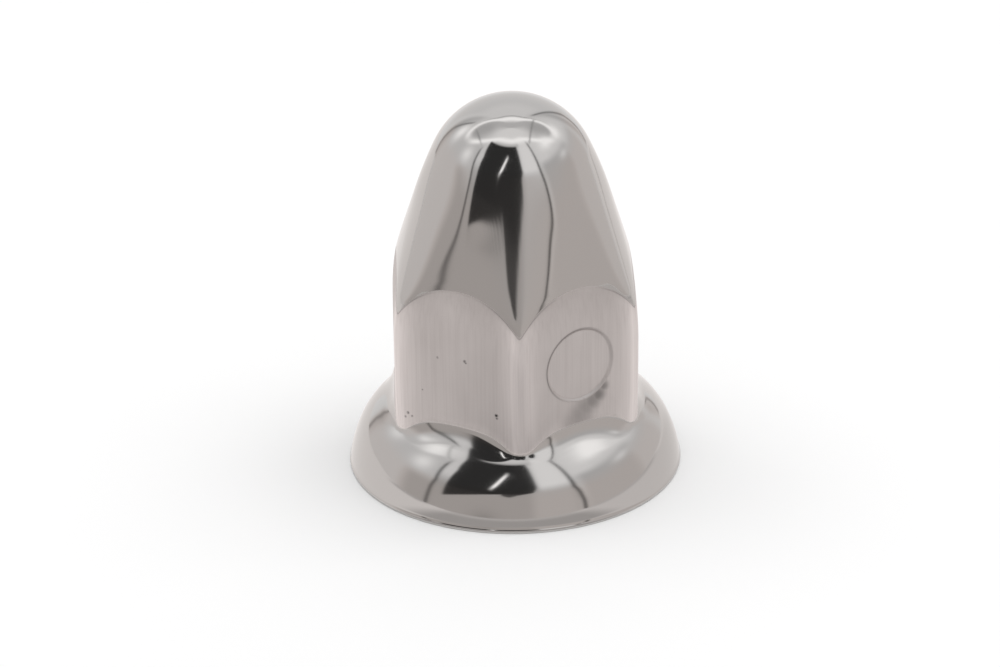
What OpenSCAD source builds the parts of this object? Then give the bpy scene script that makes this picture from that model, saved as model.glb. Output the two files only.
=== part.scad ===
// Push-on cover for a wheel nut: one sheet of stainless steel, deep drawn to a hexagon
// barrel with a turned bullet dome, and spun out to a round bell flange at its open end.
// Millimetres, +Z up. The origin is the middle of the open end, in the plane of its cut edge.
// One corner of the hexagon points to -Y, and two flats face +X and -X.

/* [Nut] */
// across-flats size of the wheel nut that the cover goes over
nut_af = 33; // [30:0.5:38]
// gap left between the nut and the inner face of the stamped disc
grip_gap = 0.05; // [0:0.05:0.4]

/* [Sheet] */
// thickness of the sheet, the same all over
sheet_t = 0.7; // [0.5:0.05:1]

/* [Hexagon barrel] */
// outer radius of the six upright corners
corner_r = 2.4; // [1.6:0.1:3.4]

/* [Dome] */
// height over all
cover_h = 57.3; // [54:0.1:62]
// outer radius of the ball nose
nose_r = 12.8; // [11.5:0.1:14]
// height at which the dome's shoulder meets the middle of each flat
shoulder_z = 32.8; // [30:0.2:36]
// lean of the shoulder from upright, which sets how deep the arches dip at the corners
shoulder_lean = 27.5; // [24:0.5:34]
// radius of the shallow waist between the shoulder and the cone
waist_r = 10; // [6:0.5:14]

/* [Flange] */
// how far the rim stands out past the hexagon's corners
flange_reach = 4.75; // [3.5:0.05:8]
// height of the upright lip at the rim
lip_h = 1; // [0.6:0.1:3]
// outer radius of the bell's round shoulder
bell_r = 10.8; // [8:0.1:12]
// turn of the bell from upright to where it runs straight to the barrel
bell_turn = 52.5; // [45:0.5:60]

/* [Stamped disc] */
// diameter of the disc's flat floor
disc_d = 10.7; // [7:0.1:12]
// height of the disc's middle
disc_z = 21.8; // [20:0.2:24]
// how far the disc is sunk in the flat
disc_depth = 0.4; // [0.2:0.05:0.6]
// lean of the disc's wall from its axis
disc_lean = 45; // [20:1:60]
// direction that the stamped flat faces, round from +X
disc_facing = -60; // [-180:60:180]

/* [Hidden] */
$fn = 96;
// straight runs cross arcs at this small angle, so every meeting is a clean crossing
seam = 3;
// fit inside: the nut, and room at both sides for the back of the stamped disc
inner_af = nut_af + 2 * (disc_depth + grip_gap);
// outer distance from the axis to a flat, and to the top of a rounded corner
flat_x = inner_af / 2 + sheet_t;
corner_mid = (flat_x - corner_r * cos(seam)) / cos(30);
corner_x = corner_mid + corner_r;
// length of straight shoulder between the top of the arches and the waist
shoulder_run = 0.4;
// middles of waist and nose in the half section, where each arc just crosses the straight runs
waist_gap = waist_r * cos(seam);
nose_gap = nose_r * cos(seam);
waist_mid = [flat_x, shoulder_z] + shoulder_run * toward(shoulder_lean + 90)
    + waist_gap * toward(shoulder_lean);
nose_mid = [0, cover_h - nose_r];
// the cone passes inside the waist and outside the nose
cone_span = waist_mid - nose_mid;
cone_lean = atan2(cone_span[1], cone_span[0]) + acos((waist_gap + nose_gap) / norm(cone_span));
// bell: radius of the lip, middle of the shoulder arc
rim_x = corner_x + flange_reach;
bell_gap = bell_r * cos(seam);
bell_x = rim_x - bell_gap;
bell_z = lip_h + bell_r * sin(seam);
// how far the bell's straight run goes on inside the barrel
bell_run = (bell_x + bell_gap * cos(bell_turn) - flat_x / 2) / sin(bell_turn);
// the inside form runs out past the cut edge by this much
past = 1;

// unit vector at this angle from the first axis
function toward(angle) = [cos(angle), sin(angle)];

// rounded hexagon, t inside the outer face
module hexagon(t) {
    r = corner_r - t;
    gap = corner_r * cos(seam) - t;
    polygon([for (k = [0:5]) for (s = [-30, 30])
        corner_mid * toward(30 + 60 * k) + gap * toward(30 + 60 * k + s)]);
    for (k = [0:5])
        rotate(30 + 60 * k)
            translate([corner_mid, 0])
                circle(r);
}

// half section of shoulder, waist, cone and ball nose, t inside the outer face
module dome_section(t) {
    waist_low = waist_mid - (waist_gap + t) * toward(shoulder_lean);
    waist_top = waist_mid - (waist_gap + t) * toward(cone_lean);
    cone_top = nose_mid + (nose_gap - t) * toward(cone_lean);
    foot_x = waist_low[0] + waist_low[1] * tan(shoulder_lean);
    difference() {
        union() {
            polygon([[0, 0], [foot_x, 0], waist_low, waist_mid, waist_top, cone_top, [0, cone_top[1]]]);
            translate(nose_mid)
                intersection() {
                    circle(nose_r - t);
                    translate([0, -nose_r])
                        square([nose_r, 2 * nose_r]);
                }
        }
        translate(waist_mid)
            circle(waist_r + t);
    }
}

// half section of the bell, filled to the axis, t inside the outer face and down to z_low
module bell_section(t, z_low) {
    gap = bell_gap - t;
    turn = [bell_x, bell_z] + gap * toward(bell_turn);
    end = turn + bell_run * toward(bell_turn + 90);
    polygon([[0, z_low], [rim_x - t, z_low], [rim_x - t, bell_z], turn, end, [0, end[1]]]);
    intersection() {
        translate([bell_x, bell_z])
            circle(bell_r - t);
        translate([bell_x, z_low])
            square([bell_r + 1, bell_z + bell_r + 1]);
    }
}

// the whole form as a solid, t inside the outer face
module form(t, z_low) {
    intersection() {
        translate([0, 0, lip_h])
            linear_extrude(height = cover_h)
                hexagon(t);
        rotate_extrude()
            dome_section(t);
    }
    rotate_extrude()
        bell_section(t, z_low);
}

// round plug with a leaning wall, from depth_in to depth_out along the stamped flat's normal
module disc_plug(r_in, depth_in, depth_out) {
    run = depth_in - depth_out;
    rotate(disc_facing)
        translate([flat_x - depth_in, 0, disc_z])
            rotate([0, 90, 0])
                cylinder(h = run, r1 = r_in, r2 = r_in + run * tan(disc_lean));
}

// the drawn sheet: outer form less inner form, with the disc pushed in from outside
module cover_shell() {
    back_r = disc_d / 2 + sheet_t * tan((90 - disc_lean) / 2);
    color([0.72, 0.71, 0.7])
        difference() {
            union() {
                difference() {
                    form(0, 0);
                    form(sheet_t, -past);
                }
                disc_plug(back_r, sheet_t + disc_depth, sheet_t / 2);
            }
            disc_plug(disc_d / 2, disc_depth, -past);
        }
}

cover_shell();
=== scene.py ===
# %% [markdown]
# # A wheel nut cover in drawn stainless sheet
# The cover is one sheet of steel: a hexagon barrel, a bullet dome and a round bell flange. The packed
# solid gives the frame and the outer sizes. This lesson makes the skin that is seen: the same form, with
# the soft edges and the two finishes of the real thing. The cover's lengths are in millimetres until they
# go into a mesh, because that is how such a part is measured. The stage round it is in metres.

# %% Load the frame and keep its box
import math

import bmesh
import bpy
import numpy as np
from mathutils import Matrix, Vector


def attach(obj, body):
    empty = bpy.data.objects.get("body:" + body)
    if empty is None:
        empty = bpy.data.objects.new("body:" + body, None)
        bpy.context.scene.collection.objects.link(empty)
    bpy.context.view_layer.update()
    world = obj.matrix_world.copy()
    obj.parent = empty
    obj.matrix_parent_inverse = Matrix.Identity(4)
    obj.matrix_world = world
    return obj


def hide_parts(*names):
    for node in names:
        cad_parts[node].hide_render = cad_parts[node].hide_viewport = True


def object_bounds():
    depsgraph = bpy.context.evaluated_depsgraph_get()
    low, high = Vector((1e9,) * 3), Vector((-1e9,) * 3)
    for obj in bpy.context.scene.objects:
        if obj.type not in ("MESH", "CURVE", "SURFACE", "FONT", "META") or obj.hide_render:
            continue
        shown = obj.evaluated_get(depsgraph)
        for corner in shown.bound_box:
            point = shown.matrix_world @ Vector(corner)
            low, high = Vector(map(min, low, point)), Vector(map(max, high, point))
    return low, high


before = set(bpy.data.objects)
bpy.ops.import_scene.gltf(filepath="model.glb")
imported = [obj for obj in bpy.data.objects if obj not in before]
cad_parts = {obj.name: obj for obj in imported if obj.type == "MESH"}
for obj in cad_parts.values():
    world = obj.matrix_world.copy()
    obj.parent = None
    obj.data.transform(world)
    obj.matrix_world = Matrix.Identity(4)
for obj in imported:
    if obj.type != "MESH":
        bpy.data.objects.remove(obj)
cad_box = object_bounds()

MM = 0.001
print("frame box in mm:", [[round(c / MM, 2) for c in corner] for corner in cad_box])

# %% [markdown]
# ## The barrel's section
# The barrel is a hexagon with rounded corners. Its radius at any angle follows from two sizes: the
# distance from the axis to a flat, and the radius of its corners. A bevelled six-sided cylinder would give
# the same section, but the dome above needs it again with corners that open out, and one function serves
# both.

# %% Rounded hexagon
flat_d = 17.65
corner_r = 2.4
HALF = math.radians(30)


def hex_radius(apothem, corner, from_flat):
    """Radius of a rounded hexagon at an angle from the middle of a flat, all arrays."""
    from_corner = HALF - from_flat
    reach = (apothem - corner) / math.cos(HALF)
    on_flat = apothem / np.cos(from_flat)
    side = np.minimum(reach * np.sin(from_corner), corner)
    on_corner = reach * np.cos(from_corner) + np.sqrt(corner ** 2 - side ** 2)
    flat_end = (apothem - corner) * math.tan(HALF)
    return np.where(apothem * np.tan(from_flat) <= flat_end, on_flat, on_corner)


print("corner radius out from the axis:", hex_radius(flat_d, corner_r, np.array([HALF])).round(2), "mm")

# %% [markdown]
# ## The dome's outline over the middle of a flat
# Seen from the side the dome leans in gently above the barrel, runs up as a cone, rounds on slowly and
# ends in a ball nose. A free curve through a few points would come close, but its small waves would show
# in the polish. Four runs that touch without a kink give a clean mirror later.

# %% Dome outline
bend_z = 28.5
bend_r = 19.0
cone_lean = math.radians(17.2)
side_r = 52.0
nose_lean = math.radians(26.4)
nose_r = 12.4

bend_top_z = bend_z + bend_r * math.sin(cone_lean)
bend_top_x = flat_d - bend_r * (1 - math.cos(cone_lean))
side_x = nose_r * math.cos(nose_lean) + side_r * (math.cos(cone_lean) - math.cos(nose_lean))
side_z = bend_top_z + (bend_top_x - side_x) / math.tan(cone_lean)
nose_z = side_z + side_r * (math.sin(nose_lean) - math.sin(cone_lean))
nose_mid_z = nose_z - nose_r * math.sin(nose_lean)


def dome_x(z):
    """Distance of the dome from the axis over the middle of a flat, below the nose."""
    arc = np.clip(z - bend_z, 0, bend_r * math.sin(cone_lean))
    bent = flat_d - (bend_r - np.sqrt(bend_r ** 2 - arc ** 2))
    cone = bend_top_x - (z - bend_top_z) * math.tan(cone_lean)
    rise = side_r * math.sin(cone_lean) + np.clip(z - side_z, 0, nose_z - side_z)
    rounded = side_x - side_r * math.cos(cone_lean) + np.sqrt(side_r ** 2 - rise ** 2)
    return np.where(z > side_z, rounded, np.where(z > bend_top_z, cone, bent))


print("side arc from z", round(side_z, 2), "and nose from z", round(nose_z, 2))
print("top of the nose at z", round(nose_mid_z + nose_r, 2))

# %% [markdown]
# ## From hexagon to circle
# Over each corner of the barrel the dome runs up in one straight line to the ball nose. Between these
# lines it is a hexagon whose corners open out until hardly more than a circle is left, and that is why
# mirrored lines on the real dome run together towards each corner. A loft between two outlines would
# soften the straight lines. Here both outlines are kept, the one over a flat and the one over a corner,
# and the rounded hexagon only says how the radius goes from one to the other.

# %% Ridges of the dome
ridge_foot_x = 19.8
ridge_foot_z = 28.3
ridge_span = math.hypot(ridge_foot_x, nose_mid_z - ridge_foot_z)
ridge_lean = math.acos(nose_r / ridge_span) - math.atan2(nose_mid_z - ridge_foot_z, ridge_foot_x)
ridge_end_z = nose_mid_z + nose_r * math.sin(ridge_lean)
roll_z = 30.5
roll_bend = 0.041


def ridge_x(z):
    """Distance of the dome from the axis over a corner: straight, rolled over at its foot."""
    line = nose_r * math.cos(ridge_lean) + (ridge_end_z - z) * math.tan(ridge_lean)
    ball = np.sqrt(nose_r ** 2 - np.clip(z - nose_mid_z, 0, nose_r) ** 2)
    return np.where(z > ridge_end_z, ball, line) - roll_bend * np.clip(roll_z - z, 0, None) ** 2


open_low = 28.0
open_top = 40.0
sharp_corner = 0.12
corner_growth = 0.6
late_growth = 0.8


def ridge_radius(from_flat, z):
    """Radius of the dome at an angle from the middle of a flat and a height."""
    share = np.clip((z - open_low) / (open_top - open_low), 0, 1)
    corner = sharp_corner + corner_growth * (1 - (1 - share) ** 2 * (1 + late_growth * share))
    one = np.ones_like(corner)
    swell = (hex_radius(one, corner, from_flat) - 1) / (hex_radius(one, corner, one * HALF) - 1)
    return dome_x(z) + (ridge_x(z) - dome_x(z)) * swell


print("ridges lean", round(math.degrees(ridge_lean), 2), "degrees and end at z", round(ridge_end_z, 2))

# %% [markdown]
# ## The arches over the flats
# Each flat ends in an arch, and lies a little inside its own plane there, which leaves a fine edge along
# the arch. Cutting the barrel with the dome would give that line too, but with ragged points. Here the
# arch is an arc of a circle drawn on the flat, so the rows of the mesh can follow it.

# %% Arches
arch_z = 33.5
arch_r = 11.9
arch_tip = 0.35


def arch_height(from_flat):
    """Height of the arch at an angle from the middle of a flat, with a small round at the corners."""
    tip = flat_d * math.tan(HALF)
    along = tip - np.sqrt((tip - flat_d * np.tan(from_flat)) ** 2 + arch_tip ** 2)
    return arch_z - (arch_r - np.sqrt(arch_r ** 2 - along ** 2))


flat_bend = 7.0


def flat_radius(from_flat, z):
    """Radius of the barrel below an arch, where each flat bends in a little to meet the dome."""
    wall = hex_radius(flat_d, corner_r, from_flat)
    top = arch_height(from_flat)
    drop = wall - ridge_radius(from_flat, top)
    return wall - drop * np.clip((z - top + flat_bend) / flat_bend, 0, 1) ** 2


print("arch at z", arch_height(np.array([0, HALF])).round(2), "over the middle of a flat and a corner")

# %% [markdown]
# ## The bell flange
# The flange is spun out round the axis: a fine step at the rim, a steep skirt and a rounder shoulder. One
# arc from rim to barrel would be too full or too flat, so two arcs touch at a knee. The rim stays just
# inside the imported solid's box.

# %% Bell
box_room = 0.01
rim_r = cad_box[1].x / MM - box_room
lip_z = 0.45
step_z = 0.6
step_in = 0.09
knee_z = 5.3
knee_turn = math.radians(24)
skirt_r = 20.0
shoulder_r = 11.6
bell_turn = math.radians(47.3)
rim_turn = math.asin(math.sin(knee_turn) - (knee_z - step_z) / skirt_r)
knee_x = rim_r - step_in - skirt_r * (math.cos(rim_turn) - math.cos(knee_turn))


def bell_point(turn):
    """Radius and height of the bell where it has turned this far from upright."""
    radius = skirt_r if turn < knee_turn else shoulder_r
    return (knee_x + radius * (math.cos(turn) - math.cos(knee_turn)),
            knee_z + radius * (math.sin(turn) - math.sin(knee_turn)))


print("bell from radius", round(rim_r, 2), "at the rim")
print("to radius and height", [round(v, 2) for v in bell_point(bell_turn)])

# %% [markdown]
# ## The fillet at the barrel's foot
# The bell meets the hexagon in a hollow fillet. The satin of the barrel ends in the fillet, on a line that
# runs level along the flats and drops in a tongue under each corner. A bevel on the meeting edge would
# have one width all round, so here the fillet's radius follows from the satin's line. The corners are
# rounder at the foot than above.

# %% Foot of the barrel
satin_z = 12.75
satin_sag = 0.3
sag_angle = 20
tongue_drop = 2.05
tongue_start = math.radians(17.5)
tongue_end = math.radians(27.5)


def satin_line(from_flat):
    """Height at which the satin ends, at an angle from the middle of a flat."""
    share = np.clip((from_flat - tongue_start) / (tongue_end - tongue_start), 0, 1)
    sag = satin_sag * (np.degrees(from_flat) / sag_angle) ** 2
    return satin_z - sag - tongue_drop * share * share * (3 - 2 * share)


foot_corner_r = 4.0
satin_turn = math.radians(14)
fillet_limit = 0.97
limit_power = 6


def foot(from_flat):
    """Barrel radius, fillet radius and height of the fillet's top at an angle from a flat's middle."""
    wall = hex_radius(flat_d, foot_corner_r, from_flat)
    end_x, end_z = bell_point(bell_turn)
    meet_z = end_z + (end_x - wall) / math.tan(bell_turn)
    half = math.tan(bell_turn / 2)
    wished = (satin_line(from_flat) - meet_z) / (half - math.sin(satin_turn))
    room = fillet_limit * (end_x - wall) / math.sin(bell_turn) / half
    fillet = wished * room / (wished ** limit_power + room ** limit_power) ** (1 / limit_power)
    return wall, fillet, meet_z + fillet * half


print("fillet radius at flat and corner", foot(np.array([0, HALF]))[1].round(2))

# %% [markdown]
# ## Rows of the flange
# The skin is a net of rows and uprights, as a drawn sheet is marked out with a grid before it is pressed.
# A subdivided block would have its lines in the wrong places. Each row here is a small rule that gives
# radius and height at any angle, listed from the rim upwards, so every edge of the form has its own row.

# %% Flange rows
rows = []


def add_rows(rule, shares):
    rows.extend((rule, share) for share in shares)


def steps(count, first=False):
    """Even shares up to 1, with 0 only where it is asked for."""
    return [k / count for k in range(0 if first else 1, count + 1)]


def lip_row(a, share):
    return np.full_like(a, rim_r), np.full_like(a, lip_z * share)


def step_row(a, share):
    return np.full_like(a, rim_r - step_in * share), np.full_like(a, lip_z + (step_z - lip_z) * share)


def bell_row(a, share):
    x, z = bell_point(rim_turn + (bell_turn - rim_turn) * share)
    return np.full_like(a, x), np.full_like(a, z)


add_rows(lip_row, steps(2, first=True))
add_rows(step_row, steps(3))
add_rows(bell_row, steps(26))
print(len(rows), "rows on the flange")

# %% [markdown]
# ## Rows of the foot
# Between the bell and the barrel lie a short straight slope and the hollow fillet. Both change with the
# angle, because the hexagon's corners come nearer to the rim than its flats.

# %% Foot rows
def slope_row(a, share):
    wall, fillet, top_z = foot(a)
    end_x, end_z = bell_point(bell_turn)
    low_x = wall + fillet * (1 - math.cos(bell_turn))
    low_z = top_z - fillet * math.sin(bell_turn)
    return end_x + (low_x - end_x) * share, end_z + (low_z - end_z) * share


def fillet_row(a, share):
    wall, fillet, top_z = foot(a)
    turn = bell_turn * (1 - share)
    return wall + fillet * (1 - math.cos(turn)), top_z - fillet * math.sin(turn)


add_rows(slope_row, steps(3))
add_rows(fillet_row, steps(12))
print(len(rows), "rows up to the top of the fillet")

# %% [markdown]
# ## Rows of the barrel and its arches
# The barrel's rows run from the fillet to just below the arch, so they lean into the arch little by
# little. The edge along the arch is soft on the real cover. A bevel could round it, but a short curve with
# its own rows keeps its width even, and the net stays all of four-sided faces.

# %% Barrel rows
foot_blend = 5.0
edge_low = 0.35
edge_high = 0.9
wall_steps = 24


def wall_row(a, share):
    foot_wall, _, low = foot(a)
    z = low + (arch_height(a) - edge_low - low) * share
    rounder = hex_radius(flat_d, corner_r, a) - foot_wall
    return flat_radius(a, z) - rounder * np.clip(1 - (z - low) / foot_blend, 0, 1) ** 2, z


def edge_row(a, share):
    top = arch_height(a)
    weights = ((1 - share) ** 2, 2 * share * (1 - share), share ** 2)
    places = (flat_radius(a, top - edge_low), ridge_radius(a, top), ridge_radius(a, top + edge_high))
    radius = sum(weight * place for weight, place in zip(weights, places))
    return radius, top - weights[0] * edge_low + weights[2] * edge_high


add_rows(wall_row, steps(wall_steps))
add_rows(edge_row, steps(8))
print(len(rows), "rows up to the arches")

# %% [markdown]
# ## Rows of the dome and the nose
# On the dome the rows level out from the arch's curve to a circle, and on the ball nose they are circles
# that shrink to the point at the top.

# %% Dome rows
def ridge_row(a, share):
    low = arch_height(a) + edge_high
    z = low + (nose_z - low) * share
    return ridge_radius(a, z), z


def nose_row(a, share):
    lean = nose_lean + (math.pi / 2 - nose_lean) * share
    out = max(nose_r * math.cos(lean), 0)
    return np.full_like(a, out), np.full_like(a, nose_mid_z + nose_r * math.sin(lean))


add_rows(ridge_row, steps(34))
add_rows(nose_row, steps(18))
print(len(rows), "rows from rim to nose")

# %% [markdown]
# ## A round cup first
# The real cover starts as a round drawn cup, and so does this one: the section through a corner is drawn
# as a chain of points, each extruded from the last, and spun round the axis. A cylinder would give only
# straight sides. An operator acts on all that is selected, so each step starts from a clean selection.

# %% Spin the cup
def deselect_all():
    if bpy.context.object and bpy.context.object.mode != "OBJECT":
        bpy.ops.object.mode_set(mode="OBJECT")
    bpy.ops.object.select_all(action="DESELECT")


uprights = 324
merge_gap = 0.001 * MM
corner_angle = np.array([HALF])
section = [[float(v[0]) for v in rule(corner_angle, share)] for rule, share in rows]
section[-1][0] = 0.0

deselect_all()
bpy.ops.mesh.primitive_plane_add(size=MM, location=(0, 0, 0))
cover = bpy.context.object
cover.name = "cover_skin"
bpy.ops.object.mode_set(mode="EDIT")
bpy.ops.mesh.merge(type="CENTER")
bpy.ops.transform.translate(value=(0, -section[0][0] * MM, section[0][1] * MM))
for (x0, z0), (x1, z1) in zip(section[:-1], section[1:]):
    move = (0, -(x1 - x0) * MM, (z1 - z0) * MM)
    bpy.ops.mesh.extrude_region_move(TRANSFORM_OT_translate={"value": move})
bpy.ops.mesh.select_all(action="SELECT")
bpy.ops.mesh.spin(steps=uprights, angle=2 * math.pi, center=(0, 0, 0), axis=(0, 0, 1))
bpy.ops.mesh.select_all(action="SELECT")
bpy.ops.mesh.remove_doubles(threshold=merge_gap)
bpy.ops.mesh.normals_make_consistent(inside=False)
bpy.ops.object.mode_set(mode="OBJECT")
print("cup:", len(cover.data.vertices), "points,", len(cover.data.polygons), "faces")

# %% [markdown]
# ## Press the hexagon
# The press leaves the corners where they are and pushes everything between them in. No single operator
# does that, so each point looks up its row and angle and takes its place from the row's rule. Uprights
# are also drawn together towards the corners, where the surface turns fastest.

# %% Press
def read_points(mesh):
    flat = np.empty(len(mesh.vertices) * 3)
    mesh.vertices.foreach_get("co", flat)
    return flat.reshape(-1, 3) / MM


def write_points(mesh, points):
    mesh.vertices.foreach_set("co", (points * MM).ravel())
    mesh.update()


def angle_from_flat(angle):
    """Angle from the middle of the nearest flat, for a hexagon with a corner at -Y."""
    return np.abs((angle + HALF) % (2 * HALF) - HALF)


def angle_from_corner(angle):
    """Angle from the nearest corner, with its sign."""
    return (angle + 4 * HALF) % (2 * HALF) - HALF


gather = 0.45
points = read_points(cover.data)
heights = np.array([z for _, z in section])
row_of = np.abs(points[:, 2:3] - heights[None, :]).argmin(axis=1)
angle = np.arctan2(points[:, 1], points[:, 0])
angle = angle - gather * HALF / math.pi * np.sin(math.pi * angle_from_corner(angle) / HALF)
for index, (rule, share) in enumerate(rows):
    here = row_of == index
    radius, height = rule(angle_from_flat(angle[here]), share)
    if index == len(rows) - 1:
        radius = np.zeros_like(radius)
    points[here, 0] = radius * np.cos(angle[here])
    points[here, 1] = radius * np.sin(angle[here])
    points[here, 2] = height
write_points(cover.data, points)
barrel_z = 20
at_barrel = np.abs(points[:, 2] - barrel_z) < 1
print("pressed: across flats", round(2 * points[at_barrel, 0].max(), 2), "mm")

# %% [markdown]
# ## Room for the sunk disc
# One flat has a round disc stamped into it. A boolean cut with a cylinder would leave long thin faces
# that shade badly, so a patch of the net is taken out there. The patch follows the rows, and its edge is
# an even frame for the rings to come.

# %% Open the net
disc_angle = math.radians(-60)
disc_z = 21.8
disc_out = Vector((math.cos(disc_angle), math.sin(disc_angle), 0))
disc_side = Vector((-math.sin(disc_angle), math.cos(disc_angle), 0))
near_flat = 0.9 * flat_d
patch_half = 6.8
patch_rows = (2 / wall_steps, 19 / wall_steps)


def make_active(piece):
    deselect_all()
    piece.select_set(True)
    bpy.context.view_layer.objects.active = piece


make_active(cover)
bpy.ops.object.mode_set(mode="EDIT")
bpy.ops.mesh.select_mode(type="FACE")
bpy.ops.mesh.select_all(action="DESELECT")
net = bmesh.from_edit_mesh(cover.data)
for face in net.faces:
    spot = face.calc_center_median() / MM
    aside = abs(spot.dot(disc_side))
    if spot.dot(disc_out) > near_flat and aside < patch_half:
        at = np.array([math.atan2(aside, flat_d)])
        low, high = (wall_row(at, share)[1][0] for share in patch_rows)
        face.select = bool(low < spot.z < high)
bmesh.update_edit_mesh(cover.data)
bpy.ops.mesh.delete(type="FACE")
net = bmesh.from_edit_mesh(cover.data)
print("opened:", len(net.faces), "faces left round the patch")

# %% [markdown]
# ## Stamp the disc
# The edge of the opening is extruded inwards ring by ring: first to a circle, then over a small round
# edge, down the wall and across the floor. The wall's depth eases in and out, so both of its edges are
# soft, as a stamp leaves them. The last ring closes to a point.

# %% Disc
disc_r = 5.35
disc_depth = 0.32
wall_out = 0.37
wall_w = 0.6
above_rim = 5 * MM
disc_mid = (disc_out * flat_d + Vector((0, 0, disc_z))) * MM
disc_rings = [(6.1, 0.0), (5.85, 0.0)]
for share in steps(9, first=True):
    disc_rings.append((disc_r + wall_out - wall_w * share, disc_depth * share ** 2 * (3 - 2 * share)))
disc_rings += [(radius, disc_depth) for radius in (4.2, 3.1, 2.0, 1.0)]

bpy.ops.mesh.select_mode(type="EDGE")
net = bmesh.from_edit_mesh(cover.data)
for edge in net.edges:
    edge.select = edge.is_boundary and min(v.co.z for v in edge.verts) > above_rim
net.select_flush_mode()
bmesh.update_edit_mesh(cover.data)
for radius, depth in disc_rings:
    bpy.ops.mesh.extrude_edges_move()
    net = bmesh.from_edit_mesh(cover.data)
    for vert in (v for v in net.verts if v.select):
        arm = vert.co - disc_mid
        turn = math.atan2(arm.z, arm.dot(disc_side))
        out = disc_side * math.cos(turn) + Vector((0, 0, 1)) * math.sin(turn)
        vert.co = disc_mid + (out * radius - disc_out * depth) * MM
    bmesh.update_edit_mesh(cover.data)
bpy.ops.mesh.merge(type="CENTER")
bpy.ops.mesh.select_all(action="SELECT")
bpy.ops.mesh.normals_make_consistent(inside=False)
bpy.ops.object.mode_set(mode="OBJECT")
print("disc:", len(disc_rings), "rings,", len(cover.data.polygons), "faces in all")

# %% [markdown]
# ## Where the steel is satin
# The press leaves fine upright lines on the barrel, and only the dome and the flange are polished. Two
# materials on separate faces would give a stepped border, so a number on each point says which finish it
# has. It fades over a tenth of a millimetre at the arch and a little more in the fillet.

# %% Mark the satin barrel
def carry(name, values):
    """Put one number on each point of the cover, for its material to read."""
    number = cover.data.attributes.new(name, "FLOAT", "POINT")
    number.data.foreach_set("value", values.astype(np.float32))


arch_soft = 0.12
foot_soft = 0.25
points = read_points(cover.data)
round_axis = np.arctan2(points[:, 1], points[:, 0])
around = angle_from_flat(round_axis)
_, fillet, top_z = foot(around)
satin_end = top_z - fillet * math.sin(satin_turn)
below_arch = np.clip((arch_height(around) - points[:, 2]) / arch_soft + 0.5, 0, 1)
above_foot = np.clip((points[:, 2] - satin_end) / foot_soft + 0.5, 0, 1)
carry("satin", below_arch * above_foot)
print("satin points:", int((below_arch * above_foot > 0.5).sum()))

# %% [markdown]
# ## Painted highlight on the corners
# The corners get a painted highlight, so they are brighter than the flats. A bevel mask in the
# material would catch every edge alike. A second number falls off from each corner, broad and soft, with
# one fine painted bright line a little to its side.

# %% Mark the painted corner highlight
broad_share = 0.7
broad_half = 7
line_share = 0.3
line_side = 2.3
line_half = 1.2
from_corner = np.degrees(angle_from_corner(round_axis))
broad_shine = broad_share * np.exp(-(from_corner / broad_half) ** 2)
shine = broad_shine + line_share * np.exp(-((from_corner + line_side) / line_half) ** 2)
# painted highlight along each corner
carry("corner_highlight", shine)
print("brightest corner:", round(float(shine.max()), 2))

# %% [markdown]
# ## Painted shade in the edges
# Shade is painted into the hollows: in the edge of the disc, most of it on one side, and in a thin
# line under the arches towards the corners. Ambient occlusion could find hollows, but these are too
# shallow for it, so a third number marks both lines of painted shade by their place.

# %% Mark the painted shade
edge_ring = 5.67
edge_half = 0.12
edge_faint = 0.1
edge_strong = 0.75
shade_way = math.radians(150)
shade_wrap = 0.2
along = points[:, :2] @ np.array(disc_side[:2])
on_disc_side = points[:, :2] @ np.array(disc_out[:2]) > near_flat
disc_way = np.arctan2(points[:, 2] - disc_z, along)
from_ring = np.hypot(along, points[:, 2] - disc_z) - edge_ring
crease_shade = on_disc_side * np.exp(-(from_ring / edge_half) ** 2)
crease_shade *= edge_faint + edge_strong * np.clip(np.cos(disc_way - shade_way) + shade_wrap, 0, 1)

under_arch = 0.12
arch_half = 0.16
arch_strong = 0.6
arch_unshaded = 10
arch_rise = 12
arch_line = np.exp(-((points[:, 2] - arch_height(around) + under_arch) / arch_half) ** 2)
near_corner = np.clip((np.degrees(around) - arch_unshaded) / arch_rise, 0, 1)
crease_shade = np.maximum(crease_shade, arch_strong * arch_line * near_corner)
# painted shade in the disc's edge and under the arches
carry("crease_shade", crease_shade)
print("points with grime:", int((crease_shade > 0.3).sum()))

# %% [markdown]
# ## Give the sheet its thickness
# The cover is a sheet of even thickness, open below. Solidify grows it inwards, so the outside keeps its
# size, and gives the inside its own material slot. A fine bevel then takes the sharpness off the cut edge
# of the rim.

# %% Thicken the sheet
def apply_modifier(piece, kind, **settings):
    make_active(piece)
    modifier = piece.modifiers.new(kind.title(), kind)
    for key, value in settings.items():
        setattr(modifier, key, value)
    bpy.ops.object.modifier_apply(modifier=modifier.name)


sheet_t = 0.7 * MM
edge_w = 0.16 * MM
cut_edge = math.radians(62)
apply_modifier(cover, "SOLIDIFY", thickness=sheet_t, offset=-1, use_even_offset=True, material_offset=1)
apply_modifier(cover, "BEVEL", width=edge_w, segments=3, limit_method="ANGLE", angle_limit=cut_edge)
make_active(cover)
bpy.ops.object.shade_smooth()
triangles = sum(len(face.vertices) - 2 for face in cover.data.polygons)
print("sheet:", triangles, "triangles")

# %% [markdown]
# ## Two finishes in one steel
# Polished steel mirrors what stands round it, and satin steel blurs it along fine upright lines. An image
# of scratches would need a seam somewhere, so two noises on the object's own coordinates do the work: fine
# draw lines that are stretched upright, and a soft cloud.

# %% Start the steel
def new_material(name):
    """Material with one principled shader, its node tree and the shader."""
    made = bpy.data.materials.new(name)
    made.use_nodes = True
    tree = made.node_tree
    tree.nodes.clear()
    output = tree.nodes.new("ShaderNodeOutputMaterial")
    shader = tree.nodes.new("ShaderNodeBsdfPrincipled")
    tree.links.new(shader.outputs["BSDF"], output.inputs["Surface"])
    return made, tree, shader


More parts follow.
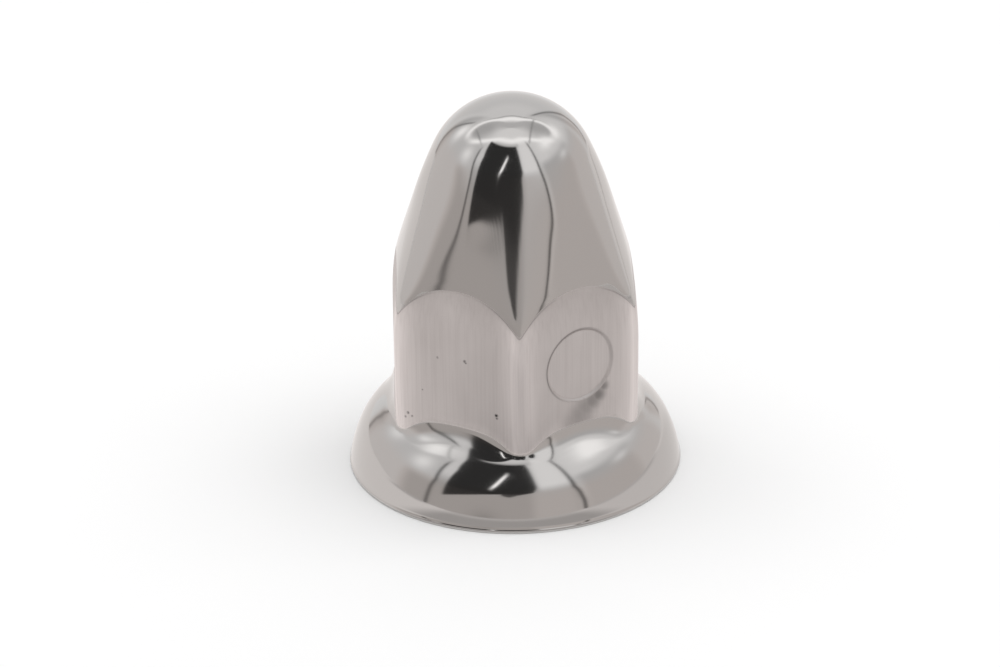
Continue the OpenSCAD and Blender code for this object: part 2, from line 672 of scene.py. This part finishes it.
def noise(tree, fineness, detail):
    """Noise with its own fineness along x, y and z, per metre."""
    place = tree.nodes.new("ShaderNodeTexCoord")
    mapping = tree.nodes.new("ShaderNodeMapping")
    mapping.inputs["Scale"].default_value = fineness
    texture = tree.nodes.new("ShaderNodeTexNoise")
    texture.inputs["Scale"].default_value = 1.0
    texture.inputs["Detail"].default_value = detail
    tree.links.new(place.outputs["Object"], mapping.inputs["Vector"])
    tree.links.new(mapping.outputs["Vector"], texture.inputs["Vector"])
    return texture.outputs["Fac"]


steel, steel_tree, steel_shader = new_material("polished_and_satin_steel")
steel_shader.inputs["Metallic"].default_value = 1.0
steel_shader.inputs["Anisotropic"].default_value = 0.75
line_fineness = (3800, 3800, 60)
cloud_fineness = (150, 150, 90)
draw_lines = noise(steel_tree, line_fineness, 4.0)
cloud = noise(steel_tree, cloud_fineness, 2.0)
print("steel starts with", len(steel_tree.nodes), "nodes")

# %% [markdown]
# ## The tone of the satin
# The satin is a pale warm grey with a faint cloud in it. Corners get a painted highlight, draw lines are a
# little darker, and the painted shade in the creases is nearly black. One flat colour would look like
# paint, so each of these is mixed over the one before, by its noise or by the number on the points.

# %% Satin tone
def span(tree, value, low, high, from_low=0.0, from_high=1.0):
    """Map a range of values to another."""
    node = tree.nodes.new("ShaderNodeMapRange")
    node.inputs["From Min"].default_value = from_low
    node.inputs["From Max"].default_value = from_high
    node.inputs["To Min"].default_value = low
    node.inputs["To Max"].default_value = high
    tree.links.new(value, node.inputs["Value"])
    return node.outputs["Result"]


def mix_colour(tree, share, first, second):
    """Mix two colours. A mix node keeps its colours in sockets 6 and 7."""
    node = tree.nodes.new("ShaderNodeMix")
    node.data_type = "RGBA"
    tree.links.new(share, node.inputs["Factor"])
    for socket, colour in ((node.inputs[6], first), (node.inputs[7], second)):
        if isinstance(colour, tuple):
            socket.default_value = (*colour, 1)
        else:
            tree.links.new(colour, socket)
    return node.outputs[2]


def number_of(tree, name):
    """The number that the points carry under this name."""
    node = tree.nodes.new("ShaderNodeAttribute")
    node.attribute_name = name
    return node.outputs["Fac"]


satin_low = (0.575, 0.54, 0.53)
satin_high = (0.615, 0.58, 0.57)
# colour of the painted highlight on the corners
corner_highlight_tone = (0.87, 0.82, 0.81)
line_tone = (0.42, 0.39, 0.38)
# colour of the painted shade in the creases
crease_shade_tone = (0.16, 0.15, 0.147)
cloud_share = span(steel_tree, cloud, 0, 1, 0.35, 0.65)
dark_share = span(steel_tree, draw_lines, 0, 0.17, 0.45, 0.75)
satin_tone = mix_colour(steel_tree, cloud_share, satin_low, satin_high)
# mix in the painted highlight on the corners
satin_tone = mix_colour(steel_tree, number_of(steel_tree, "corner_highlight"), satin_tone, corner_highlight_tone)
satin_tone = mix_colour(steel_tree, dark_share, satin_tone, line_tone)
# mix in the painted shade in the disc's edge and under the arches
satin_tone = mix_colour(steel_tree, number_of(steel_tree, "crease_shade"), satin_tone, crease_shade_tone)
print("satin tone:", len(steel_tree.nodes), "nodes so far")

# %% [markdown]
# ## Painted shade under the disc
# A dark painted shade runs down from the disc's lower right edge. It could be painted on an image, but a
# row of soft round spots, each a place and a size, needs no unwrapping. The disc's own floor is left out,
# so the painted shade stops at its edge.

# %% Painted shade below the disc
def spots(tree, marks, hard):
    """Largest of many round spots, each a place in mm, a size in mm and a strength."""
    place = tree.nodes.new("ShaderNodeTexCoord").outputs["Object"]
    most = None
    for spot, size, strength in marks:
        gap = tree.nodes.new("ShaderNodeVectorMath")
        gap.operation = "DISTANCE"
        gap.inputs[1].default_value = [c * MM for c in spot]
        tree.links.new(place, gap.inputs[0])
        mark = span(tree, gap.outputs["Value"], strength, 0.0, hard * size * MM, size * MM)
        mark.node.interpolation_type = "SMOOTHSTEP"
        if most is None:
            most = mark
            continue
        larger = tree.nodes.new("ShaderNodeMath")
        larger.operation = "MAXIMUM"
        tree.links.new(most, larger.inputs[0])
        tree.links.new(mark, larger.inputs[1])
        most = larger.outputs[0]
    return most


def mix_value(tree, share, first, second):
    """Mix two numbers. A mix node keeps its numbers in sockets 2 and 3."""
    node = tree.nodes.new("ShaderNodeMix")
    tree.links.new(share, node.inputs["Factor"])
    for socket, value in ((node.inputs[2], first), (node.inputs[3], second)):
        if isinstance(value, float):
            socket.default_value = value
        else:
            tree.links.new(value, socket)
    return node.outputs[0]


below_disc_shade_marks = [
    ((12.3, -13.28, 17.4), 1.3, 0.70),
    ((11.5, -13.74, 16.3), 1.9, 0.78),
    ((10.6, -14.26, 15.6), 2.4, 0.62),
    ((9.6, -14.84, 14.9), 3.0, 0.48),
    ((8.9, -15.24, 13.9), 3.3, 0.42),
    ((8.2, -15.65, 12.9), 3.4, 0.36),
]
# colour of the painted shade below the disc
below_disc_shade_tone = (0.17, 0.162, 0.158)
below_disc_shade_hard = 0.1
shade_stop_r = 5.8
shade_stop_hard = 0.96
below_disc_shade = spots(steel_tree, below_disc_shade_marks, below_disc_shade_hard)
in_disc = spots(steel_tree, [(disc_mid / MM, shade_stop_r, 1.0)], shade_stop_hard)
# mix in the painted shade below the disc, kept off the disc's floor
satin_tone = mix_colour(steel_tree, mix_value(steel_tree, in_disc, below_disc_shade, 0.0), satin_tone, below_disc_shade_tone)
print("smear:", len(below_disc_shade_marks), "soft spots")

# %% [markdown]
# ## Pits in the left flat
# A few small dark pits lie on the flat left of the front corner. They are far too fine for the mesh. They
# are spots as well, harder than the painted shade, and a fine noise tears their edges so that none is a
# neat dot.

# %% Pits
pit_marks = [
    ((-11.46, -13.76, 22.93), 0.3, 0.4),
    ((-7.67, -15.95, 23.23), 0.36, 0.7),
    ((-7.5, -16.05, 23.0), 0.24, 0.55),
    ((-3.33, -18.46, 15.75), 0.4, 1.0),
    ((-3.28, -18.48, 15.35), 0.3, 0.8),
    ((-13.71, -12.47, 17.28), 0.2, 0.5),
    ((-15.90, -11.20, 13.0), 0.36, 0.6),
    ((-15.3, -11.55, 12.6), 0.26, 0.6),
    ((-16.3, -11.0, 12.3), 0.3, 0.5),
]
pit_tone = (0.05, 0.046, 0.045)
pit_hard = 0.2
pit_fineness = (4200, 4200, 2600)
ragged = noise(steel_tree, pit_fineness, 2.0)
torn = steel_tree.nodes.new("ShaderNodeMath")
torn.operation = "MULTIPLY"
steel_tree.links.new(spots(steel_tree, pit_marks, pit_hard), torn.inputs[0])
steel_tree.links.new(span(steel_tree, ragged, 0.4, 1.25, 0.35, 0.6), torn.inputs[1])
satin_tone = mix_colour(steel_tree, torn.outputs[0], satin_tone, pit_tone)
print("pits:", len(pit_marks))

# %% [markdown]
# ## Join polish and satin
# Base colour and roughness go from polish to satin by the same number on the points. The draw lines also
# get a little relief, but only on the satin, because the polish has none left.

# %% Link the steel
polish_tone = (0.52, 0.505, 0.495)
relief_depth = 0.02 * MM
satin_share = number_of(steel_tree, "satin")
base_tone = mix_colour(steel_tree, satin_share, polish_tone, satin_tone)
satin_rough = span(steel_tree, draw_lines, 0.36, 0.50)
polish_rough = span(steel_tree, cloud, 0.05, 0.09)
rough = mix_value(steel_tree, satin_share, polish_rough, satin_rough)
relief = steel_tree.nodes.new("ShaderNodeBump")
relief.inputs["Distance"].default_value = relief_depth
steel_tree.links.new(base_tone, steel_shader.inputs["Base Color"])
steel_tree.links.new(rough, steel_shader.inputs["Roughness"])
steel_tree.links.new(span(steel_tree, satin_share, 0.0, 0.5), relief.inputs["Strength"])
steel_tree.links.new(draw_lines, relief.inputs["Height"])
steel_tree.links.new(relief.outputs["Normal"], steel_shader.inputs["Normal"])
print("steel:", len(steel_tree.nodes), "nodes")

# %% [markdown]
# ## The inside
# Inside, the sheet is as the drawing left it: duller, with upright streaks, and never polished. It has a
# simple material of its own in the slot that Solidify gave it.

# %% Steel of the inside
streak_low = (0.40, 0.385, 0.375)
streak_high = (0.50, 0.485, 0.475)
inside, inside_tree, inside_shader = new_material("drawn_steel_inside")
inside_shader.inputs["Metallic"].default_value = 1.0
streaks = noise(inside_tree, (900, 900, 70), 4.0)
streak_tone = mix_colour(inside_tree, streaks, streak_low, streak_high)
inside_tree.links.new(streak_tone, inside_shader.inputs["Base Color"])
inside_tree.links.new(span(inside_tree, streaks, 0.28, 0.42), inside_shader.inputs["Roughness"])
cover.data.materials.clear()
cover.data.materials.append(steel)
cover.data.materials.append(inside)
print("materials:", [m.name for m in cover.data.materials])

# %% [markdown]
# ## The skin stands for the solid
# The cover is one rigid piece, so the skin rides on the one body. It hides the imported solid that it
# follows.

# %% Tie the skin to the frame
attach(cover, "root")
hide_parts("cover_shell")
print(cover.name, "rides on root")

# %% [markdown]
# ## The camera
# It stands a little left of a corner and looks down at the cover. A long lens keeps the barrel straight.
# The aim is on the axis, and a small lens shift sets the cover in the frame without tilting the uprights.

# %% Camera
camera_round = math.radians(-2.27)


def way_to(turn, up):
    """Unit vector, or a row of them: degrees from the camera's side (0) to the right (90), and up."""
    turn = np.radians(turn) + camera_round
    up = np.radians(up)
    return np.stack([np.sin(turn) * np.cos(up), -np.cos(turn) * np.cos(up), np.sin(up)], axis=-1)


image_w = 1000
aim = Vector((0, 0, 28.29)) * MM
camera_far = 415.8 * MM
camera_up = 24.16
camera_roll = math.radians(-0.67)
focal_px = 2844.7
aim_right_px = 13.2
aim_up_px = 52.1
lens = bpy.data.cameras.new("camera")
lens.sensor_width = 36
lens.lens = focal_px / image_w * lens.sensor_width
lens.shift_x = -aim_right_px / image_w
lens.shift_y = -aim_up_px / image_w
lens.clip_start = 0.01
camera = bpy.data.objects.new("camera", lens)
bpy.context.scene.collection.objects.link(camera)
away = Vector(way_to(0, camera_up))
camera.location = aim + away * camera_far
look = (-away).to_track_quat("-Z", "Y").to_matrix()
camera.rotation_euler = (look @ Matrix.Rotation(camera_roll, 3, "Z")).to_euler()
bpy.context.scene.camera = camera
print("camera at", [round(c, 4) for c in camera.location])

# %% [markdown]
# ## The floor
# The cover stands on plain white paper, which keeps its shadow. A backdrop that curves up could hide the
# horizon, but a wide sheet under a white surround has no horizon to hide.

# %% Floor
floor_w = 6
floor_drop = 0.02 * MM
deselect_all()
bpy.ops.mesh.primitive_plane_add(size=floor_w, location=(0, 0, -floor_drop))
floor = bpy.context.object
floor.name = "floor"
paper, _, paper_shader = new_material("white_paper")
paper_shader.inputs["Base Color"].default_value = (0.93, 0.93, 0.93, 1)
paper_shader.inputs["Roughness"].default_value = 0.9
paper_shader.inputs["Specular IOR Level"].default_value = 0.1
floor.data.materials.append(paper)
print("floor:", floor_w, "m wide")

# %% [markdown]
# ## The white surround
# The surround is white for the eye and for mirrored rays, and a little lower where it only lights. Light
# Path tells these rays apart, so the ground can be white without more light on the cover.

# %% Surround
lit_level = 0.92
world = bpy.data.worlds.new("white_surround")
bpy.context.scene.world = world
world.use_nodes = True
world_tree = world.node_tree
light_path = world_tree.nodes.new("ShaderNodeLightPath")
seen = light_path.outputs["Is Camera Ray"]
for name in ("Is Glossy Ray", "Is Transmission Ray"):
    either = world_tree.nodes.new("ShaderNodeMath")
    either.operation = "MAXIMUM"
    world_tree.links.new(seen, either.inputs[0])
    world_tree.links.new(light_path.outputs[name], either.inputs[1])
    seen = either.outputs[0]
surround = world_tree.nodes["Background"]
surround.inputs["Color"].default_value = (1, 1, 1, 1)
world_tree.links.new(span(world_tree, seen, lit_level, 1.0), surround.inputs["Strength"])
print("surround:", lit_level, "where it lights, 1 where it is seen")

# %% [markdown]
# ## The light box that the polish mirrors
# A mirror shows what stands round it, so the polish needs surroundings. They are a light box as for
# product pictures: pale walls with sewn seams, lamp bars along the roof and a dark opening at the camera's
# side. It could be built of panels and lamps, but each soft border would then be a piece of its own. Here
# it is one grid, bent to a ball, whose points carry how bright the box is in that direction. Directions
# are in degrees: the turn from the camera's side, to the right in the picture, and the height.

# %% Bend a grid to a ball
box_far = 1.0
deselect_all()
bpy.ops.mesh.primitive_grid_add(x_subdivisions=480, y_subdivisions=240, size=2)
box = bpy.context.object
box.name = "light_box"
places = read_points(box.data) * MM
turn = places[:, 0] * 180
up = places[:, 1] * 90
write_points(box.data, (np.array(aim) + way_to(turn, up) * box_far) / MM)
level = np.ones_like(turn)
print("light box:", len(level), "points, all white so far")

# %% [markdown]
# ## The walls
# Each lay mixes one brightness over what is there already, in a soft-edged panel or a round blob. It
# works as thin paint does, from the large walls to the small glows on them.

# %% Walls
def smooth_rise(value, edge, soft):
    share = np.clip((value - edge) / soft + 0.5, 0, 1)
    return share * share * (3 - 2 * share)


def between(value, low, high, soft):
    return smooth_rise(value, low, soft) * (1 - smooth_rise(value, high, soft))


def panel(left, right, turn_soft, low, high, up_soft):
    return between(turn, left, right, turn_soft) * between(up, low, high, up_soft)


def blob(turn_mid, up_mid, turn_half, up_half):
    return np.exp(-((turn - turn_mid) / turn_half) ** 2 - ((up - up_mid) / up_half) ** 2)


def lay(value, share):
    level[:] = level + (value - level) * share


# front wall, its brighter right half and a shade low on its left
lay(0.57, between(turn, -62, 44, 6) * (1 - smooth_rise(up, 28, 18)))
lay(0.69, panel(12, 43, 10, -12, 26, 14))
lay(0.38, blob(-21, -8, 9, 10))
# left wall and its darker front end
lay(0.83, panel(-140, -62, 8, -6, 52, 12))
lay(0.58, panel(-84, -59, 15, -8, 20, 14))
# bright cloth to the right of the opening
lay(1.17, panel(17, 42, 4, 25, 74, 14))
lay(1.05, panel(43, 66, 8, 30, 66, 14))
# right wall, darker at the front
lay(0.68, panel(47, 104, 14, -6, 33, 10))
lay(0.79, panel(98, 134, 14, -5, 28, 12))
lay(1.00, blob(90, 27, 9, 4))
# glow of the lamps on both walls
lay(1.25, blob(-80, 33, 9, 9))
lay(1.45, blob(-121, 34, 8, 10))
lay(1.45, blob(113, 43, 10, 7))
# folds in the two back corners, and the back wall
lay(0.64, blob(-136, 20, 5, 30))
lay(0.64, blob(143, 25, 6, 34))
lay(0.90, between(np.abs(turn), 146, 190, 10) * between(up, 5, 45, 20))
print("walls from", level.min().round(3), "to", level.max().round(3))

# %% [markdown]
# ## The roof and its lamp bars
# The roof is darker at the back. A bright bar runs along its edge on both sides, lowest at the middle of
# the side walls, and that is the bright curve that crosses the nose and the shoulders of the flange.

# %% Roof and bars
def line_on(value, line, half):
    return np.exp(-((value - line) / half) ** 2)


dip_at = 105
aside = np.abs(turn)
bar_dip = np.exp(-((aside - dip_at) / np.where(aside < dip_at, 39, 25)) ** 2)
bar = 70.5 + aside / 40 - 31 * bar_dip
side_shade = 0.2 * line_on(aside, 95, 25) * (1 - smooth_rise(up, 72, 14))
roof = 1.12 - 0.36 * smooth_rise(aside, 90, 60) - side_shade
lay(roof, smooth_rise(up, bar + 5, 6))
lay(1.5, blob(78, 50, 15, 7))
lay(0.78, panel(-48, 18, 6, 61, 66, 4))
lay(1.55, line_on(up, bar, 4.0) * (1 - 0.6 * line_on(aside, 99, 8)))
lay(0.50, line_on(up, bar - 5, 0.9) * smooth_rise(aside, 128, 20))
print("lamp bars between", bar.min().round(1), "and", bar.max().round(1), "degrees up")

# %% [markdown]
# ## The dark opening
# The opening at the camera's side makes the black block on the dome and on the flange. On the dome its
# lower edge is drawn out long, into a tail that points down at the corner, so the edge is given with more
# care than the rest. A slanting glint crosses the black.

# %% Opening
tail_left = -10
left_of_tail = np.minimum(turn - tail_left, 0)
block_edge = 19.7 + 0.134 * left_of_tail - 0.0031 * left_of_tail ** 2
tail_turns = [-9.7, -7.2, -4.2, 1.4, 8.3, 12.6, 15.7]
tail_heights = [17.9, 17.0, 16.4, 18.3, 20.0, 20.7, 27]
tail_edge = np.interp(turn, tail_turns, tail_heights)
low_edge = np.where(turn < -9.85, block_edge, tail_edge)
opening = smooth_rise(up, low_edge, 0.7) * (1 - smooth_rise(up, 62.5, 3))
left_end = np.interp(up, [42, 62], [-51, -58])
right_end = np.interp(up, [20, 29, 36, 56, 62], [14.5, 15.7, 15.2, 13.2, 11.5])
tail = (1 - smooth_rise(up, 19.8, 1.6)) * (0.2 + 0.8 * between(turn, tail_left, 9, 3))
lay(0.043 + 0.055 * tail, opening * between(turn, left_end, right_end, 1.6))
glint_line = np.interp(up, [26, 48], [-18, -8])
lay(2.4, line_on(turn, glint_line, 1.4) * between(up, 27, 48, 10))
print("light box from", level.min().round(3), "to", level.max().round(3))

# %% [markdown]
# ## The seams
# The walls of such a box are sewn together, and their seams are the thin dark lines in the polish: two in
# front, two at the back and two across the roof. Each is a line of turns over the height, with a soft end.

# %% Seams
right_seam = np.interp(up, [-12, 5, 12, 20, 40, 62], [47, 46.5, 45, 42.5, 42, 42])
lay(0.08, line_on(turn, right_seam, 1.6) * between(up, -12, 64, 8))
left_seam = np.interp(up, [-14, 6, 22, 48], [-63, -61.3, -60, -64.5])
lay(0.12, line_on(turn, left_seam, 1.5) * between(up, -14, 48, 12))
back_right = np.interp(up, [-2, 4, 16, 54], [144, 149, 151, 144])
lay(0.30, line_on(turn, back_right, 1.5) * between(up, -4, 58, 6))
back_left = np.interp(up, [0, 8, 20, 43], [-137, -138, -137, -129])
lay(0.35, line_on(turn, back_left, 1.5) * between(up, -4, 46, 6))
across = np.cos(np.radians(up)) * np.sin(np.radians(turn))
lay(0.40, line_on(across, 0.36, 0.014) * smooth_rise(up, 61, 4))
lay(0.40, line_on(across, -0.59, 0.014) * smooth_rise(up, 52, 6))
print("points on dark seams and in the opening:", int((level < 0.3).sum()))

# %% [markdown]
# ## Let only the metal see it
# The box glows by the light that its points carry, a little warmer where it is low and dim. It is hidden
# from the camera and from the floor, so the picture keeps its plain white ground. A surround image would
# do the same, but this way needs no file.

# %% Light box material
def carry_light(mesh, colours):
    """Put a light on each point of a stage mesh."""
    light = mesh.attributes.new("light", "FLOAT_COLOR", "POINT")
    light.data.foreach_set("color", colours.astype(np.float32).ravel())


def only_in_mirrors(piece):
    piece.visible_camera = False
    piece.visible_diffuse = False
    piece.visible_shadow = False
    piece.visible_transmission = False


warm = (1 - smooth_rise(up, 22, 20)) * (1 - smooth_rise(level, 0.85, 0.3))
tint = 1 + warm[:, None] * np.array([[0.055, -0.01, -0.045]])
carry_light(box.data, np.c_[level[:, None] * tint, np.ones(len(level))])
cloth = bpy.data.materials.new("glowing_cloth")
cloth.use_nodes = True
cloth_tree = cloth.node_tree
cloth_tree.nodes.clear()
output = cloth_tree.nodes.new("ShaderNodeOutputMaterial")
emit = cloth_tree.nodes.new("ShaderNodeEmission")
carried = cloth_tree.nodes.new("ShaderNodeAttribute")
carried.attribute_name = "light"
cloth_tree.links.new(carried.outputs["Color"], emit.inputs["Color"])
cloth_tree.links.new(emit.outputs[0], output.inputs["Surface"])
box.data.materials.append(cloth)
only_in_mirrors(box)
print("warmest tint", tint.max(axis=0).round(3))

# %% [markdown]
# ## Take out what is plain white
# Where the box is as white as the surround, it isn't needed. Those faces are selected by the brightness
# of their points and deleted, so the surround itself shows in the mirror there.

# %% Open the light box
white_gap = 0.01
make_active(box)
bpy.ops.object.mode_set(mode="EDIT")
bpy.ops.mesh.select_mode(type="FACE")
bpy.ops.mesh.select_all(action="DESELECT")
bpy.ops.object.mode_set(mode="OBJECT")
coloured = np.abs(level - 1) > white_gap
plain = [not coloured[list(face.vertices)].any() for face in box.data.polygons]
box.data.polygons.foreach_set("select", plain)
bpy.ops.object.mode_set(mode="EDIT")
bpy.ops.mesh.delete(type="FACE")
bpy.ops.object.mode_set(mode="OBJECT")
print("light box faces:", len(box.data.polygons))

# %% [markdown]
# ## The floor in the mirror
# In the mirror the floor is a little darker in front of the cover, and far out at its sides. A darker
# paper would show in the picture too. A flat ring round the rim, which again only the metal sees, doesn't.

# %% Floor ring
ring_out = np.r_[0.0253, np.geomspace(0.03, 0.3, 10), np.arange(0.43, 0.91, 0.0125)]
ring_parts = 120
ring_lift = 0.01 * MM
deselect_all()
bpy.ops.mesh.primitive_grid_add(x_subdivisions=ring_parts, y_subdivisions=len(ring_out) - 1, size=2)
ring = bpy.context.object
ring.name = "floor_ring"
places = read_points(ring.data) * MM
ring_turn = places[:, 0] * 180
ring_far = np.interp((places[:, 1] + 1) / 2 * (len(ring_out) - 1), range(len(ring_out)), ring_out)
ring_points = way_to(ring_turn, 0 * ring_turn) * ring_far[:, None]
ring_points[:, 2] = ring_lift
write_points(ring.data, ring_points / MM)
print("floor ring:", len(ring_points), "points out to", ring_far.max().round(3), "m")

# %% [markdown]
# ## Shades on the ring
# The shades are laid as on the light box: a broad one in front, fainter ones far out at both sides, and
# a thin line on each side where a wall meets the floor.

# %% Shade the floor ring
far_out = smooth_rise(ring_far, 0.15, 0.14)
front_shade = 0.41 - 0.15 * smooth_rise(ring_far, 0.085, 0.07)
far_shade = 0.27 * between(ring_turn, 47, 110, 16) + 0.33 * between(ring_turn, -88, -60, 12)
ring_level = 0.95 - front_shade * between(ring_turn, -44, 40, 16)
ring_level -= 0.1 * (1 - far_out) * between(ring_turn, 40, 130, 24)
ring_level -= far_out * far_shade
ring_level -= 0.5 * line_on(ring_far, 0.468, 0.02) * between(ring_turn, 95, 146, 8)
ring_level -= 0.5 * line_on(ring_far, 0.86, 0.025) * between(ring_turn, -138, -80, 8)
warm_white = np.array([[1.03, 0.99, 0.97, 1]])
carry_light(ring.data, ring_level[:, None] * warm_white)
ring.data.materials.append(cloth)
only_in_mirrors(ring)
print("floor ring from", ring_level.min().round(3), "to", ring_level.max().round(3))

# %% [markdown]
# ## Two soft lamps
# A soft lamp on each side lights the floor and gives the cover its shadow. One lamp would throw a hard
# shadow to one side. The metal doesn't mirror them, because the light box has its own lamp bars. The
# Standard view shows each colour about as it is written.

# %% Lamps
lamp_far = 0.6


def lamp(name, turn, up, width, height, power):
    light = bpy.data.lights.new(name, "AREA")
    light.shape = "RECTANGLE"
    light.size = width
    light.size_y = height
    light.energy = power
    made = bpy.data.objects.new(name, light)
    bpy.context.scene.collection.objects.link(made)
    way = Vector(way_to(turn, up))
    made.location = aim + way * lamp_far
    made.rotation_euler = way.to_track_quat("Z", "Y").to_euler()
    made.visible_camera = False
    made.visible_glossy = False
    print(name, "with", power, "W")


lamp("lamp_left", -108, 50, 0.40, 0.25, 0.35)
lamp("lamp_right", 95, 55, 0.40, 0.30, 0.6)
bpy.context.scene.view_settings.view_transform = "Standard"
